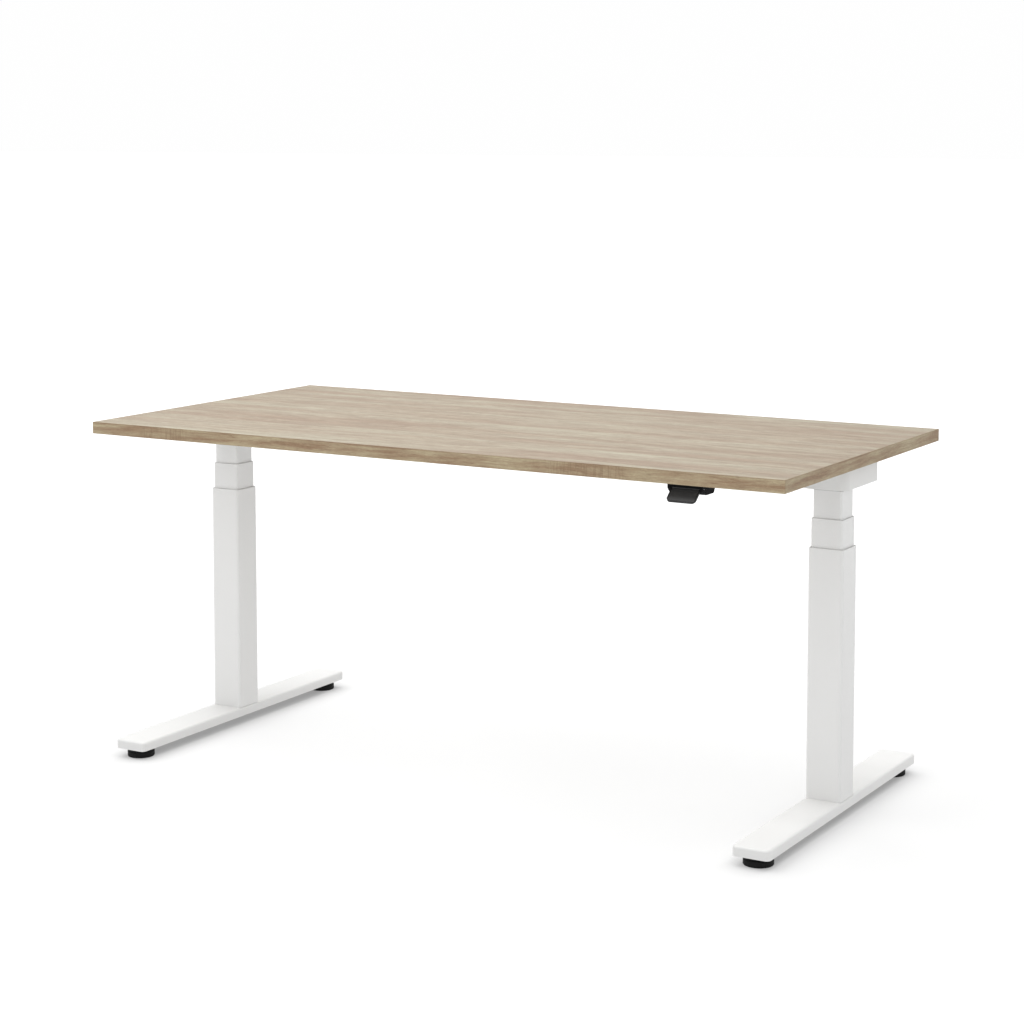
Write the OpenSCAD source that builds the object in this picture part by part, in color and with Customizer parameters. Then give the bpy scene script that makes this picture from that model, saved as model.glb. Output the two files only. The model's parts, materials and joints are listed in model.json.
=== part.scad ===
// Height adjustable standing desk: a board on two three-stage lifting columns with T-feet.
// Millimetres, +Z up, +X to the user's right, -Y towards the user.
// The origin is on the floor under the middle of the board. The desk is drawn at its stored height.

/* [Board] */
// Length of the board along X
board_l = 1600; // [1520:10:1800]
// Depth of the board along Y
board_w = 800; // [780:10:900]
// Thickness of the board
board_t = 25; // [18:1:30]
// Thickness of the edge band
band_t = 2; // [1:0.5:3]
// Gap where two strips of edge band meet
band_joint = 0.1; // [0.05:0.05:0.2]

/* [Columns] */
// Distance of each column's axis from the middle of the desk
column_x = 729; // [690:1:729]
// Outer width of the lowest tube along X
outer_x = 73.5; // [72:0.5:75]
// Outer depth of the lowest tube along Y
outer_y = 71.5; // [70:0.5:73]
// Corner radius of the lowest tube
outer_r = 6; // [5:0.5:8]
// Wall of all three tubes
tube_wall = 1.5; // [1.4:0.1:1.6]
// Difference in size between the lowest and the middle tube
middle_step = 7; // [6.5:0.5:7]
// Difference in size between the middle and the top tube
inner_step = 6; // [6:0.5:6.5]
// Length of each tube
tube_l = 500; // [440:10:560]
// How much of the middle tube shows above the lowest tube
middle_show = 58; // [20:1:100]
// How much of the top tube shows above the middle tube
inner_show = 57; // [57:1:100]

/* [Feet] */
// Length of a foot along Y
foot_l = 760; // [680:5:780]
// Width of a foot
foot_w = 76.5; // [76:0.5:80]
// Height of a foot's own section
foot_h = 20; // [18:1:24]
// Radius of a foot's top edges
foot_edge_r = 5; // [2:0.5:6]
// Radius of a foot's corners seen from above
foot_corner_r = 10; // [6:1:14]
// Distance of each glide from the middle of the foot
glide_y = 341; // [300:1:345]
// Diameter of a glide's pad
pad_d = 58; // [50:1:60]
// Thickness of a glide's pad
pad_t = 12; // [10:1:12]

/* [Handset] */
// Centre of the handset along X
handset_x = 590; // [540:5:600]
// Width of the handset's body
handset_w = 72; // [72:1:76]
// Length of the paddle from its hinge to its tip
paddle_l = 35; // [33:0.5:37]
// Angle of the resting paddle below the horizontal
paddle_angle = 40; // [38:1:42]

/* [Hidden] */
$fn = 48;
EPS = 1;                              // depth by which a cutter passes a face

plate_t = 3;                          // sheet steel of the brackets, feet and housings
foot_z = pad_t + 8;                   // underside of the feet

middle_x = outer_x - middle_step;
middle_y = outer_y - middle_step;
middle_r = outer_r - 1;
inner_x = middle_x - inner_step;
inner_y = middle_y - inner_step;
inner_r = middle_r - 1;

outer_z = foot_z + foot_h;            // foot of the lowest tube
middle_z = outer_z + middle_show;     // lower end of the middle tube
inner_z = middle_z + inner_show;      // lower end of the top tube
housing_z = inner_z + tube_l;         // underside of the motor housings
housing_h = 47;
carrier_z = housing_z + housing_h;    // top of the housings, underside of the brackets
board_z = carrier_z + plate_t;        // underside of the board

guide_gap = 0.4;                      // room between a guide and the tube that slides in it
guide_recess = 1;                     // how far a guide lies below the mouth of its tube
guide_l = 38;                         // length of a guide ring
shoe_l = 30;                          // length of a shoe on a tube's lower end

// Spindle drive, from the inside out: fixed lower screw, drive tube, upper spindle, nut tube
fit = 0.05;                           // radial running fit
base_plate_t = 5;
mid_plate_t = 4;
lower_screw_r = 6;
lower_screw_top = outer_z + tube_l - 60;
drive_r = 9;
drive_nut_l = 30;
drive_bore_r = 6.8;
drive_l = tube_l - 60;
collar_r = 13;
collar_t = 5;
spindle_r = 14;
spindle_low = inner_z + 25;           // lower end of the upper spindle
spindle_bore_top = housing_z - 55;
post_bore_r = spindle_r + 1.5;
post_r = post_bore_r + 2.5;
nut_l = 30;
nut_flange_r = 20;
nut_flange_t = 5;
journal_r = 8;
journal_top = carrier_z - 12;

// Motor housing, drawn for the right-hand column
house_x0 = column_x - 57;
house_x1 = column_x + 39;
house_y0 = -32;
house_y1 = 138;
house_front_r = 22;
house_back_r = 5;
house_wall = 3;
wheel_r = 19.7;                       // worm wheel
wheel_t = 14;
worm_z = housing_z + 22;              // height of the worm and of the middle of its wheel
worm_x = column_x - 25;
worm_r = 5;
worm_half = 16;
shaft_r = 2.5;
motor_r = 18.5;
motor_y0 = 45;
motor_y1 = 116;
nose_r = 12;
nose_y0 = 33;
motor_plate_t = 3;
rib_y0 = motor_y0 - 2 * motor_plate_t;
boss_r = 7;
boss_bore_r = 2.6;
boss_head_r = 5;
BOSSES = [[house_x0 + 9.5, -13], [house_x0 + 11, 127], [house_x1 - 11, 127], [house_x1 - 11, 46]];
lead_hole = [house_x0 + 43, house_y1, carrier_z - 12];

// Frame under the board
bracket_x0 = column_x - 39;
bracket_x1 = column_x + 21;
bracket_half = 300;
rib_h = 10;
rail_z0 = carrier_z - 36;
rail_z1 = carrier_z - 4;
rail_w = 40;
rail_wall = 2;
rail_end_t = 4;
FRONT_RAIL_Y = -10;
REAR_RAIL_Y = 76;
rail_screw_r = 3;
RAIL_SCREWS = [14, 28];               // distance of the rail's screws from its front face
rail_screw_z = (rail_z0 + rail_z1) / 2;
SCREW_Y = [-280, -120, 200, 280];     // board screws of a bracket
screw_x = (bracket_x0 + bracket_x1) / 2;
wood_r = 2.1;
wood_head_r = 4.5;
wood_head_t = 2.5;
wood_depth = 15;

// Control box behind the rear rail
box_half = 130;
box_y0 = 128;
box_y1 = 228;
box_z0 = carrier_z - 37;
box_wall = 2.5;
box_r = 6;
ear_l = 16;
EARS = [box_y0 + 20, box_y1 - 20];
socket_w = 15;
socket_h = 11;
socket_depth = 12;
socket_z = carrier_z - 16;
handset_socket_y = 150;
motor_socket_y = 190;
inlet_y = 150;
inlet_w = 25;
inlet_h = 18;
inlet_depth = 17;
pin_l = 8;

// Handset, in a plane across X; the hinge of the paddle is its reference
hinge_y = -369;
hinge_z = board_z - 10.5;
hub_r = 3.5;
hub_gap = 0.5;
pin_r = 1.5;
cheek = 6;
handset_back = -315;                  // back of the handset's body, at the board
paddle_w = handset_w - 2 * cheek - 1;
paddle_t = 4;
paddle_corner_r = 8;
paddle_rim = 2;
paddle_recess = 0.6;
// Section of the handset's body: distance along Y and height from the board's underside
HANDSET_PROFILE = [
    [-376, 0], [-376, -10.5], [-373.5, -14.5], [-368, -19], [-360, -22],
    [handset_back - 15, -22], [handset_back - 11, -20], [handset_back, 0]];
HANDSET_SCREWS = [[-24, -346], [24, -346]];

// Leads held under the board: heights are from the board's underside
motor_lead_r = 3;
handset_lead_r = 2.2;
// Route of the right-hand motor lead, from its housing to the control box
MOTOR_ROUTE = [
    [column_x - 14, 134, -15], [column_x - 14, 142, -14.5], [column_x - 16, 152, -12],
    [column_x - 25, 166, -9], [column_x - 43, 178, -7.5], [column_x - 69, 186, -5.5],
    [600, 189, -4], [500, 190, -4], [400, 190, -4], [300, 190, -4], [220, 190, -4], [190, 190, -5],
    [168, 190, -10], [152, 190, -16.5], [142, 190, -19], [134, 190, -19]];
// Route of the handset lead, from the handset over the rails to the control box
HANDSET_ROUTE = [
    [handset_x, -342, -8], [handset_x, -330, -8], [handset_x, -318, -8], [handset_x, -304, -6],
    [handset_x - 1, -288, -3.5],
    [handset_x - 3, -200, -3.5], [handset_x - 6, -110, -3.5], [handset_x - 18, -62, -3.5],
    [handset_x - 50, -36, -3.5], [handset_x - 100, -30, -3.5], [380, -30, -3.5],
    [260, -30, -3.5], [212, -24, -3.5], [186, -2, -3.5], [178, 36, -3.5], [177, 80, -3.5],
    [175, 118, -4], [168, 138, -8], [156, 148, -16], [144, 150, -19], [134, 150, -19]];
// Clips: centre of each clip and whether its lead runs along X
CLIPS = [
    [[560, 189.5, -4], true], [[350, 190, -4], true], [[240, 190, -4], true],
    [[-560, 189.5, -4], true], [[-350, 190, -4], true], [[-240, 190, -4], true],
    [[handset_x - 2, -250, -3.5], false], [[handset_x - 4.5, -150, -3.5], false],
    [[430, -30, -3.5], true], [[300, -30, -3.5], true], [[177.5, 58, -3.5], false]];
clip_l = 10;
clip_w = 16;
clip_h = 8.6;
clip_bore_r = 3.6;

WHITE = "whitesmoke";
BLACK = "#1e1e1e";
OAK = "#c4b4a0";
STEEL = "silver";

// ---------- shared shapes ----------

// Rectangle with round corners, centred
module rounded_rect(x, y, r) {
    square([x - 2 * r, y], center = true);
    square([x, y - 2 * r], center = true);
    for (sx = [-1, 1])
        for (sy = [-1, 1])
            translate([sx * (x / 2 - r), sy * (y / 2 - r)])
                circle(r);
}

// Straight length of rectangular tube, standing on z
module tube(x, y, r, wall, z, l) {
    translate([0, 0, z])
        linear_extrude(l)
            difference() {
                rounded_rect(x, y, r);
                rounded_rect(x - 2 * wall, y - 2 * wall, r - wall);
            }
}

// Ring between an outer rectangle and an inner one, standing on z
module ring(x, y, r, wall, z, l) {
    tube(x, y, max(r, wall + 0.5), wall, z, l);
}

// Upright cylinder between two heights
module post(r, z0, z1) {
    translate([0, 0, z0])
        cylinder(r = r, h = z1 - z0);
}

// Cylinder along Y between two places
module rod_y(r, y0, y1) {
    translate([0, y0, 0])
        rotate([-90, 0, 0])
            cylinder(r = r, h = y1 - y0);
}

// Cylinder along X between two places
module rod_x(r, x0, x1) {
    translate([x0, 0, 0])
        rotate([0, 90, 0])
            cylinder(r = r, h = x1 - x0);
}

// Put something drawn about a column's axis at the left (-1) or right (1) column
module at_column(side) {
    translate([side * column_x, 0, 0])
        children();
}

// Mirror something drawn for the right-hand side to the chosen side
module on_side(side) {
    if (side > 0)
        children();
    else
        mirror([1, 0, 0])
            children();
}

// A smooth curve through the points of a route, with parts pieces between two points
function spline_point(p, i, t) =
    let (a = p[max(i - 1, 0)], b = p[i], c = p[i + 1], d = p[min(i + 2, len(p) - 1)])
    0.5 * (2 * b + (c - a) * t + (2 * a - 5 * b + 4 * c - d) * t * t + (3 * b - a - 3 * c + d) * t * t * t);
function smooth_route(p, parts) = concat(
    [for (i = [0 : len(p) - 2]) for (k = [0 : parts - 1]) spline_point(p, i, k / parts)],
    [p[len(p) - 1]]);
function unit(v) = v / norm(v);
function along(p, i) = unit(p[min(i + 1, len(p) - 1)] - p[max(i - 1, 0)]);

// A round lead along a route under the board, as one closed sweep with eight sides
module lead(route, r) {
    sides = 8;
    path = [for (p = smooth_route(route, 3)) p + [0, 0, board_z]];
    rings = len(path);
    points = [
        for (i = [0 : rings - 1])
            let (t = along(path, i), a = unit(cross(t, [0, 0, 1])), b = cross(a, t))
                for (k = [0 : sides - 1])
                    path[i] + r * (cos(360 * k / sides) * a + sin(360 * k / sides) * b)];
    walls = [
        for (i = [0 : rings - 2])
            for (k = [0 : sides - 1])
                let (n = (k + 1) % sides)
                    [i * sides + k, i * sides + n, (i + 1) * sides + n, (i + 1) * sides + k]];
    first = [[for (k = [sides - 1 : -1 : 0]) k]];
    last = [[for (k = [0 : sides - 1]) (rings - 1) * sides + k]];
    polyhedron(points = points, faces = concat(walls, first, last), convexity = 8);
}

// ---------- board ----------

// Pilot hole for a wood screw in the board's underside
module pilot(x, y) {
    translate([x, y, board_z - EPS])
        cylinder(r = wood_r, h = wood_depth + EPS);
}

// Run children once at each wood screw; the top of its head is at height $head_z
module at_wood_screws() {
    for (side = [-1, 1])
        for (y = SCREW_Y)
            translate([side * screw_x, y, 0])
                let ($head_z = carrier_z)
                    children();
    for (side = [-1, 1])
        for (y = EARS)
            translate([side * (box_half + ear_l / 2), y, 0])
                let ($head_z = carrier_z)
                    children();
    for (p = HANDSET_SCREWS)
        translate([handset_x + p[0], p[1], 0])
            let ($head_z = board_z - 6)
                children();
}

module tabletop() {
    color(OAK)
        difference() {
            translate([0, 0, board_z + board_t / 2])
                cube([board_l - 2 * band_t, board_w - 2 * band_t, board_t], center = true);
            at_wood_screws()
                pilot(0, 0);
        }
}

module edge_band() {
    color("#a4907a") {
        for (side = [-1, 1])
            translate([0, side * (board_w - band_t) / 2, board_z + board_t / 2])
                cube([board_l, band_t, board_t], center = true);
        for (side = [-1, 1])
            translate([side * (board_l - band_t) / 2, 0, board_z + board_t / 2])
                cube([band_t, board_w - 2 * (band_t + band_joint), board_t], center = true);
    }
}

// ---------- feet ----------

FOOT_SCREW = 20;                      // distance of a foot's screws from the column's axis
foot_screw_r = 4;
foot_head_r = 6.5;
foot_head_t = 8;
insert_r = 8;
stud_r = 5;
stud_low = 4;                         // lower end of a stud, inside its pad
stud_top = foot_z + 13;
nut_w = 17;
web_z = outer_z - plate_t;            // underside of the foot's top web

// Run children at the four screws that hold a column on its foot
module at_foot_screws() {
    for (sx = [-1, 1])
        for (sy = [-1, 1])
            translate([sx * FOOT_SCREW, sy * FOOT_SCREW, 0])
                children();
}

// Upright section with round top corners, for the long or the short way through a foot
module foot_section(w) {
    square([w, foot_h - foot_edge_r]);
    translate([foot_edge_r, 0])
        square([w - 2 * foot_edge_r, foot_h]);
    for (x = [foot_edge_r, w - foot_edge_r])
        translate([x, foot_h - foot_edge_r])
            circle(foot_edge_r);
}

// Pressed steel channel, open below, with round top edges
module foot(side) {
    color(WHITE)
        at_column(side)
            difference() {
                intersection() {
                    translate([0, 0, foot_z])
                        linear_extrude(foot_h)
                            rounded_rect(foot_w, foot_l, foot_corner_r);
                    translate([-foot_w / 2, foot_l / 2, foot_z])
                        rotate([90, 0, 0])
                            linear_extrude(foot_l)
                                foot_section(foot_w);
                    translate([-foot_w / 2, -foot_l / 2, foot_z])
                        rotate([90, 0, 90])
                            linear_extrude(foot_w)
                                foot_section(foot_l);
                }
                translate([0, 0, foot_z - EPS])
                    linear_extrude(web_z - foot_z + EPS)
                        rounded_rect(foot_w - 2 * plate_t, foot_l - 2 * plate_t, foot_corner_r - plate_t);
                at_foot_screws()
                    post(foot_screw_r + 0.2, web_z - EPS, outer_z + EPS);
            }
}

// Plates that close the feet from below, with holes to reach the screws
module foot_plates() {
    gap = 0.2;
    color("gainsboro")
        for (side = [-1, 1])
            at_column(side)
                difference() {
                    translate([0, 0, foot_z])
                        linear_extrude(plate_t)
                            rounded_rect(foot_w - 2 * (plate_t + gap), foot_l - 2 * (plate_t + gap),
                                foot_corner_r - plate_t - gap);
                    at_foot_screws()
                        post(foot_head_r + 2, foot_z - EPS, foot_z + plate_t + EPS);
                    for (sy = [-1, 1])
                        translate([0, sy * glide_y, 0])
                            post(insert_r, foot_z - EPS, foot_z + plate_t + EPS);
                }
}

// Socket head screws from inside each foot into the base plate of its column
module foot_screws() {
    socket_r = 3;
    color(STEEL)
        for (side = [-1, 1])
            at_column(side)
                at_foot_screws()
                    difference() {
                        union() {
                            post(foot_head_r, web_z - foot_head_t, web_z);
                            post(foot_screw_r, web_z - EPS, outer_z + base_plate_t);
                        }
                        post(socket_r, web_z - foot_head_t - EPS, web_z - foot_head_t / 2);
                    }
}

// Threaded inserts that carry the glides
module glide_inserts() {
    color(STEEL)
        for (side = [-1, 1])
            for (sy = [-1, 1])
                translate([side * column_x, sy * glide_y, 0])
                    difference() {
                        post(insert_r, foot_z, web_z);
                        post(stud_r + fit, foot_z - EPS, web_z + EPS);
                    }
}

// Threaded stud with its hexagon, standing on the pad's bearing
module stud(side, front) {
    nut_t = 4;
    color(STEEL)
        translate([side * column_x, front * glide_y, 0]) {
            post(stud_r, stud_low, stud_top);
            translate([0, 0, pad_t + 0.6])
                cylinder(r = nut_w / 2, h = nut_t, $fn = 6);
        }
}

// Round pad that turns on the lower end of its stud
module pad(side, front) {
    bevel = 1.2;
    color(BLACK)
        translate([side * column_x, front * glide_y, 0])
            difference() {
                rotate_extrude($fn = 96)
                    polygon([
                        [0, 0], [pad_d / 2 - bevel, 0], [pad_d / 2, bevel], [pad_d / 2, pad_t - bevel],
                        [pad_d / 2 - bevel, pad_t], [0, pad_t]]);
                post(stud_r + fit, stud_low, pad_t + EPS);
            }
}

// ---------- columns ----------

module outer_tube(side) {
    color(WHITE)
        at_column(side) {
            tube(outer_x, outer_y, outer_r, tube_wall, outer_z, tube_l);
            difference() {
                translate([0, 0, outer_z])
                    linear_extrude(base_plate_t)
                        rounded_rect(outer_x - 2, outer_y - 2, outer_r - 1);
                post(lower_screw_r, outer_z - EPS, outer_z + base_plate_t + EPS);
                at_foot_screws()
                    post(foot_screw_r, outer_z - EPS, outer_z + base_plate_t + EPS);
            }
        }
}

// Guide ring fixed in the mouth of a tube of size x by y
module mouth_guide(side, x, y, r, step, mouth_z) {
    inside = 2 * tube_wall;
    wall = (step - inside) / 2 - guide_gap;
    color("dimgray")
        at_column(side)
            ring(x - inside, y - inside, r - tube_wall, wall, mouth_z - guide_recess - guide_l, guide_l);
}

// Shoe fixed round the lower end of a tube of size x by y
module end_shoe(side, x, y, r, step, z) {
    wall = (step - 2 * tube_wall) / 2 - guide_gap;
    color("dimgray")
        at_column(side)
            ring(x + 2 * wall, y + 2 * wall, r + wall, wall, z, shoe_l);
}

module plain_tube(side, x, y, r, z) {
    color(WHITE)
        at_column(side)
            tube(x, y, r, tube_wall, z, tube_l);
}

// Fixed lead screw that stands in the base plate of the lowest tube
module lower_screw(side) {
    tip = 1.5;
    color(STEEL)
        at_column(side) {
            post(lower_screw_r, outer_z, lower_screw_top - tip);
            translate([0, 0, lower_screw_top - tip])
                cylinder(r1 = lower_screw_r, r2 = lower_screw_r - tip, h = tip);
        }
}

// Base plate of the middle tube with the post that carries the upper nut
module nut_tube(side) {
    color(STEEL)
        at_column(side)
            difference() {
                union() {
                    translate([0, 0, middle_z])
                        linear_extrude(mid_plate_t)
                            rounded_rect(middle_x - 2 * tube_wall, middle_y - 2 * tube_wall,
                                middle_r - tube_wall);
                    post(post_r, middle_z, middle_z + drive_l);
                }
                post(drive_r + fit, middle_z - EPS, middle_z + mid_plate_t + EPS);
                post(post_bore_r, middle_z + mid_plate_t, middle_z + drive_l + EPS);
            }
}

module upper_nut(side) {
    top = middle_z + drive_l;
    color("goldenrod")
        at_column(side)
            difference() {
                union() {
                    post(post_bore_r, top - nut_l, top);
                    post(nut_flange_r, top, top + nut_flange_t);
                }
                post(spindle_r + fit, top - nut_l - EPS, top + nut_flange_t + EPS);
            }
}

// Turning tube with a nut at its lower end; it climbs the lower screw and slides in the upper spindle
module drive_tube(side) {
    collar_z = middle_z + mid_plate_t + 0.3;
    color(STEEL)
        at_column(side)
            difference() {
                union() {
                    post(drive_r, middle_z, middle_z + drive_l);
                    post(collar_r, collar_z, collar_z + collar_t);
                }
                post(lower_screw_r + fit, middle_z - EPS, middle_z + drive_nut_l);
                post(drive_bore_r, middle_z + drive_nut_l - EPS, middle_z + drive_l + EPS);
            }
}

// Hollow spindle held in the motor housing, with its worm wheel
module upper_spindle(side) {
    shoulder_z = housing_z + 7;
    color(STEEL)
        at_column(side)
            difference() {
                union() {
                    post(spindle_r, spindle_low, shoulder_z);
                    post(journal_r, shoulder_z - EPS, journal_top);
                    post(wheel_r, worm_z - wheel_t / 2, worm_z + wheel_t / 2);
                }
                post(drive_r + fit, spindle_low - EPS, spindle_bore_top);
            }
}

// ---------- motor housings ----------

// Plan of the right-hand housing, drawn smaller by inset on every side
module housing_plan(inset) {
    x0 = house_x0 + inset;
    x1 = house_x1 - inset;
    y0 = house_y0 + inset;
    y1 = house_y1 - inset;
    rf = house_front_r - inset;
    rb = house_back_r - inset;
    translate([x0, y0 + rf])
        square([x1 - x0, y1 - y0 - rf - rb]);
    translate([x0 + rf, y0])
        square([x1 - x0 - 2 * rf, rf + 1]);
    translate([x0 + rb, y1 - rb - 1])
        square([x1 - x0 - 2 * rb, rb + 1]);
    for (x = [x0 + rf, x1 - rf])
        translate([x, y0 + rf])
            circle(rf);
    for (x = [x0 + rb, x1 - rb])
        translate([x, y1 - rb])
            circle(rb);
}

// Run children at the front faces of both rails
module at_rails() {
    for (y = [FRONT_RAIL_Y, REAR_RAIL_Y])
        translate([0, y, 0])
            children();
}

// Screw holes between a housing and the rails, from x0 to x1
module rail_holes(x0, x1) {
    at_rails()
        for (d = RAIL_SCREWS)
            translate([0, d, rail_screw_z])
                rod_x(rail_screw_r, x0, x1);
}

module motor_housing(side) {
    floor_z = housing_z + house_wall;
    bearing_r = 20;
    color(WHITE)
        on_side(side)
            difference() {
                union() {
                    difference() {
                        translate([0, 0, housing_z])
                            linear_extrude(carrier_z - housing_z)
                                housing_plan(0);
                        translate([0, 0, floor_z])
                            linear_extrude(carrier_z - floor_z + EPS)
                                housing_plan(house_wall);
                    }
                    translate([column_x, 0, 0])
                        post(bearing_r, floor_z - EPS, housing_z + 7);
                    for (b = BOSSES)
                        translate([b[0], b[1], 0])
                            post(boss_r, floor_z - EPS, carrier_z);
                    translate([house_x0 + EPS, rib_y0, floor_z - EPS])
                        cube([50, motor_plate_t, 36]);
                }
                translate([column_x, 0, 0])
                    post(spindle_r + fit, housing_z - EPS, housing_z + 7 + EPS);
                for (b = BOSSES)
                    translate([b[0], b[1], 0]) {
                        post(boss_bore_r, housing_z - EPS, carrier_z + EPS);
                        post(boss_head_r, housing_z - EPS, floor_z + 1);
                    }
                translate([worm_x, 0, worm_z])
                    rod_y(nose_r, rib_y0 - EPS, motor_y0);
                translate([lead_hole[0], 0, lead_hole[2]])
                    rod_y(motor_lead_r + 1, house_y1 - house_wall - EPS, house_y1 + EPS);
                rail_holes(house_x0 - EPS, house_x0 + house_wall + EPS);
            }
}

module motor(side) {
    color("dimgray")
        on_side(side)
            translate([worm_x, 0, worm_z])
                difference() {
                    union() {
                        rod_y(motor_r, motor_y0, motor_y1);
                        rod_y(nose_r, nose_y0, motor_y0 + EPS);
                        rod_y(journal_r, motor_y1 - EPS, motor_y1 + 4);
                        translate([-motor_r, motor_y0 - motor_plate_t, -motor_r])
                            cube([2 * motor_r, motor_plate_t, 2 * motor_r]);
                    }
                    rod_y(shaft_r + fit, nose_y0 - EPS, motor_y0);
                }
}

module worm(side) {
    color(STEEL)
        on_side(side)
            translate([worm_x, 0, worm_z]) {
                rod_y(worm_r, -worm_half, worm_half);
                rod_y(shaft_r, worm_half - EPS, motor_y0 - EPS);
            }
}

// ---------- frame under the board ----------

// Carrier under the board and lid of the motor housing
module bracket(side) {
    lengths = [[-bracket_half, house_y0 - 8], [house_y1 + 70, bracket_half]];
    color(WHITE)
        on_side(side)
            difference() {
                union() {
                    translate([bracket_x0, -bracket_half, carrier_z])
                        cube([bracket_x1 - bracket_x0, 2 * bracket_half, plate_t]);
                    translate([0, 0, carrier_z])
                        linear_extrude(plate_t)
                            housing_plan(0);
                    for (span = lengths)
                        for (x = [bracket_x0, bracket_x1 - plate_t])
                            translate([x, span[0], carrier_z - rib_h])
                                cube([plate_t, span[1] - span[0], rib_h + plate_t]);
                }
                for (y = SCREW_Y)
                    translate([screw_x, y, 0])
                        post(wood_r + 0.4, carrier_z - EPS, board_z + EPS);
                for (b = BOSSES)
                    translate([b[0], b[1], 0])
                        post(boss_bore_r, carrier_z - EPS, board_z + EPS);
            }
}

// Rectangular rail between the housings, closed by drilled end plates
module rail(y) {
    half = house_x0;
    color(WHITE)
        translate([0, y, 0])
            difference() {
                translate([-half, 0, rail_z0])
                    cube([2 * half, rail_w, rail_z1 - rail_z0]);
                translate([-half + rail_end_t, rail_wall, rail_z0 + rail_wall])
                    cube([2 * (half - rail_end_t), rail_w - 2 * rail_wall,
                        rail_z1 - rail_z0 - 2 * rail_wall]);
                for (side = [-1, 1])
                    on_side(side)
                        for (d = RAIL_SCREWS)
                            translate([0, d, rail_screw_z])
                                rod_x(rail_screw_r, half - rail_end_t - EPS, half + EPS);
            }
}

// Screws that hold the rails on the housings, and the housings on the brackets
module frame_screws() {
    head_r = 5;
    head_t = 3;
    color(STEEL)
        for (side = [-1, 1])
            on_side(side) {
                at_rails()
                    for (d = RAIL_SCREWS)
                        translate([0, d, rail_screw_z]) {
                            rod_x(rail_screw_r, house_x0 - 2 * rail_end_t, house_x0 + house_wall);
                            rod_x(head_r, house_x0 + house_wall, house_x0 + house_wall + head_t);
                        }
                for (b = BOSSES)
                    translate([b[0], b[1], 0]) {
                        post(boss_head_r - 0.5, housing_z + 0.5, housing_z + house_wall + 1);
                        post(boss_bore_r, housing_z + house_wall, board_z - 0.5);
                    }
            }
}

// Pan head screws into the board
module board_screws() {
    color(STEEL)
        at_wood_screws() {
            post(wood_head_r, $head_z - wood_head_t, $head_z);
            post(wood_r, $head_z - EPS, board_z + wood_depth);
        }
}

// ---------- control box ----------

// Opening in an end of the box for a plug, at the right-hand end
module end_socket(y, w, h, depth) {
    translate([box_half - depth, y - w / 2, socket_z - h / 2])
        cube([depth + EPS, w, h]);
}

// Walls of a socket inside the box, at the right-hand end
module socket_shell(y, w, h, depth) {
    wall = 1.5;
    translate([box_half - depth - wall, y - w / 2 - wall, socket_z - h / 2 - wall])
        cube([depth + wall - EPS, w + 2 * wall, h + 2 * wall]);
}

module control_box() {
    height = carrier_z - box_z0;
    color(BLACK)
        difference() {
            union() {
                difference() {
                    translate([0, (box_y0 + box_y1) / 2, box_z0])
                        linear_extrude(height)
                            rounded_rect(2 * box_half, box_y1 - box_y0, box_r);
                    translate([0, (box_y0 + box_y1) / 2, box_z0 + box_wall])
                        linear_extrude(height)
                            rounded_rect(2 * (box_half - box_wall), box_y1 - box_y0 - 2 * box_wall,
                                box_r - box_wall);
                }
                for (y = [handset_socket_y, motor_socket_y])
                    socket_shell(y, socket_w, socket_h, socket_depth);
                mirror([1, 0, 0]) {
                    socket_shell(motor_socket_y, socket_w, socket_h, socket_depth);
                    socket_shell(inlet_y, inlet_w, inlet_h, inlet_depth);
                }
            }
            for (y = [handset_socket_y, motor_socket_y])
                end_socket(y, socket_w, socket_h, socket_depth);
            mirror([1, 0, 0]) {
                end_socket(motor_socket_y, socket_w, socket_h, socket_depth);
                end_socket(inlet_y, inlet_w, inlet_h, inlet_depth);
            }
        }
    color(STEEL)
        mirror([1, 0, 0])
            for (p = [[-7, -1.5], [0, 3], [7, -1.5]])
                translate([box_half - inlet_depth - 0.5, inlet_y + p[0] - 1, socket_z + p[1] - 2])
                    cube([pin_l + 0.5, 2, 4]);
}

// Lid of the control box with four ears that are screwed to the board
module control_lid() {
    color(BLACK)
        translate([0, 0, carrier_z])
            difference() {
                union() {
                    translate([0, (box_y0 + box_y1) / 2, 0])
                        linear_extrude(plate_t)
                            rounded_rect(2 * box_half, box_y1 - box_y0, box_r);
                    for (y = EARS)
                        translate([0, y, 0])
                            linear_extrude(plate_t)
                                rounded_rect(2 * (box_half + ear_l), ear_l, 5);
                }
                for (side = [-1, 1])
                    for (y = EARS)
                        translate([side * (box_half + ear_l / 2), y, 0])
                            post(wood_r + 0.4, -EPS, plate_t + EPS);
            }
}

// ---------- handset ----------

// Put something drawn across the hinge line at the handset's left end
module handset_extrude(x0, w) {
    translate([handset_x + x0, 0, 0])
        rotate([90, 0, 90])
            linear_extrude(w)
                children();
}

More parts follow.
